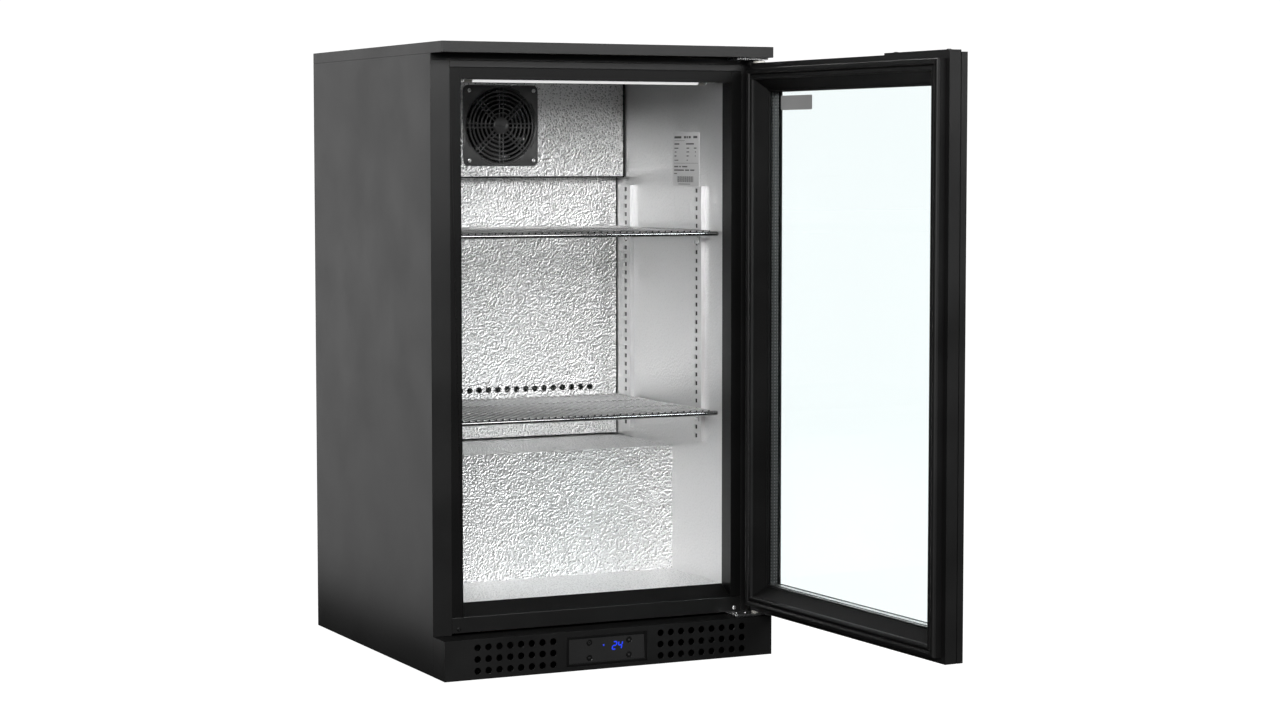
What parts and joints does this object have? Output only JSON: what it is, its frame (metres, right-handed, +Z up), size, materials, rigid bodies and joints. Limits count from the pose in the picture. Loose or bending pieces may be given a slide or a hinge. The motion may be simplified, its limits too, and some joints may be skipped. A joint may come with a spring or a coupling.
{
  "type": "undercounter refrigerator",
  "caption": "Black undercounter bottle cooler with a glass door that stands open, wire shelves, a fan-cooled aluminium interior, a strip lamp, a vented plinth and a digital controller.",
  "frame": {"origin": "on the floor, in the middle of the cabinet's 500 x 515 mm footprint, the open door not counted", "axes": "+Z up, the door side faces -Y, +X to the hinge side"},
  "size_m": [0.5249, 0.9809, 0.87],
  "materials": {
    "black_coated_steel": "fine textured powder coat, satin",
    "inner_steel": "galvanised",
    "stucco_aluminium": "stucco embossed",
    "aluminium": "mill finish",
    "foam": "closed-cell foam",
    "black_plastic": "moulded, satin",
    "control_window": "gloss",
    "control_button": "gloss",
    "door_profile": "black anodised, satin",
    "door_trim": "moulded, satin",
    "gasket": "soft, matte",
    "glass": "clear, low-emissivity",
    "chrome_wire": "bright",
    "zinc_plate": "zinc plated",
    "white_label": "printed",
    "lamp_lens": "opal",
    "compressor_paint": "gloss black",
    "rubber": "matte",
    "copper": "drawn copper tube",
    "nylon": "natural",
    "foot_plastic": "moulded",
    "fan_plastic": "moulded, satin"
  },
  "bodies": {
    "cabinet": {"top_cover": "black_coated_steel", "outer_side_left": "black_coated_steel", "outer_side_right": "black_coated_steel", "rear_panel": "inner_steel", "front_rails": "black_coated_steel", "base_pan": "inner_steel", "machine_bulkhead": "inner_steel", "insulation_foam": "foam", "liner_sides": "stucco_aluminium", "liner_ceiling": "stucco_aluminium", "liner_rear": "stucco_aluminium", "liner_floor": "stucco_aluminium", "liner_step": "stucco_aluminium", "opening_frame": "black_plastic", "plinth_grille": "black_coated_steel", "controller_bezel": "black_plastic", "controller_window": "control_window", "controller_module": "black_plastic", "evaporator_cover": "stucco_aluminium", "fan_guard": "fan_plastic", "evaporator_fan_motor": "fan_plastic", "evaporator_coil": "aluminium", "air_duct_panel": "stucco_aluminium", "lamp_channel": "aluminium", "lamp_diffuser": "lamp_lens", "shelf_support_strips": "aluminium", "shelf_clips": "zinc_plate", "hinge_bracket_top": "zinc_plate", "hinge_bracket_bottom": "zinc_plate", "cabinet_screws": "zinc_plate", "rating_label": "white_label", "compressor": "compressor_paint", "compressor_mounts": "rubber", "drip_tray": "black_plastic", "condenser_coil": "compressor_paint", "condenser_fan_motor": "fan_plastic", "refrigerant_line": "copper", "electrical_box": "black_plastic", "rear_grille": "black_coated_steel", "cable_gland": "black_plastic"},
    "door": {"door_frame": "door_profile", "door_inner_frame": "door_trim", "door_gasket": "gasket", "door_glass": "glass", "glass_spacer": "aluminium", "hinge_bushes": "nylon", "door_top_plate": "door_profile"},
    "upper_shelf": {"shelf_upper": "chrome_wire"},
    "lower_shelf": {"shelf_lower": "chrome_wire"},
    "evaporator_fan": {"evaporator_fan_blades": "fan_plastic"},
    "condenser_fan": {"condenser_fan_blades": "fan_plastic"},
    "foot_front_left": {"foot_front_left": "foot_plastic"},
    "foot_front_right": {"foot_front_right": "foot_plastic"},
    "foot_rear_left": {"foot_rear_left": "foot_plastic"},
    "foot_rear_right": {"foot_rear_right": "foot_plastic"},
    "button_lower_left": {"button_lower_left": "control_button"},
    "button_lower_right": {"button_lower_right": "control_button"},
    "button_upper_left": {"button_upper_left": "control_button"},
    "button_upper_right": {"button_upper_right": "control_button"}
  },
  "joints": [
    {"name": "door_swing", "type": "hinge", "parent": "cabinet", "child": "door", "pos_m": [0.238, -0.2375, 0], "axis": [0, 0, 1], "range_deg": [-92, 20]},
    {"name": "upper_shelf_lift", "type": "slide", "parent": "cabinet", "child": "upper_shelf", "axis": [0, 0, 1], "range_m": [0, 0.03]},
    {"name": "lower_shelf_lift", "type": "slide", "parent": "cabinet", "child": "lower_shelf", "axis": [0, 0, 1], "range_m": [0, 0.03]},
    {"name": "evaporator_fan_spin", "type": "hinge", "parent": "cabinet", "child": "evaporator_fan", "pos_m": [0.002, 0.15, 0.763], "axis": [0, -1, 0], "continuous": true},
    {"name": "condenser_fan_spin", "type": "hinge", "parent": "cabinet", "child": "condenser_fan", "pos_m": [0.102, 0.178, 0.0816], "axis": [0, -1, 0], "continuous": true},
    {"name": "foot_front_left_turn", "type": "hinge", "parent": "cabinet", "child": "foot_front_left", "pos_m": [-0.19, -0.182, 0], "axis": [0, 0, 1], "continuous": true},
    {"name": "foot_front_right_turn", "type": "hinge", "parent": "cabinet", "child": "foot_front_right", "pos_m": [0.19, -0.182, 0], "axis": [0, 0, 1], "continuous": true},
    {"name": "foot_rear_left_turn", "type": "hinge", "parent": "cabinet", "child": "foot_rear_left", "pos_m": [-0.19, 0.212, 0], "axis": [0, 0, 1], "continuous": true},
    {"name": "foot_rear_right_turn", "type": "hinge", "parent": "cabinet", "child": "foot_rear_right", "pos_m": [0.19, 0.212, 0], "axis": [0, 0, 1], "continuous": true},
    {"name": "button_lower_left_press", "type": "slide", "parent": "cabinet", "child": "button_lower_left", "axis": [0, 1, 0], "range_m": [0, 0.0008], "stiffness_N_per_m": 600},
    {"name": "button_lower_right_press", "type": "slide", "parent": "cabinet", "child": "button_lower_right", "axis": [0, 1, 0], "range_m": [0, 0.0008], "stiffness_N_per_m": 600},
    {"name": "button_upper_left_press", "type": "slide", "parent": "cabinet", "child": "button_upper_left", "axis": [0, 1, 0], "range_m": [0, 0.0008], "stiffness_N_per_m": 600},
    {"name": "button_upper_right_press", "type": "slide", "parent": "cabinet", "child": "button_upper_right", "axis": [0, 1, 0], "range_m": [0, 0.0008], "stiffness_N_per_m": 600}
  ]
}
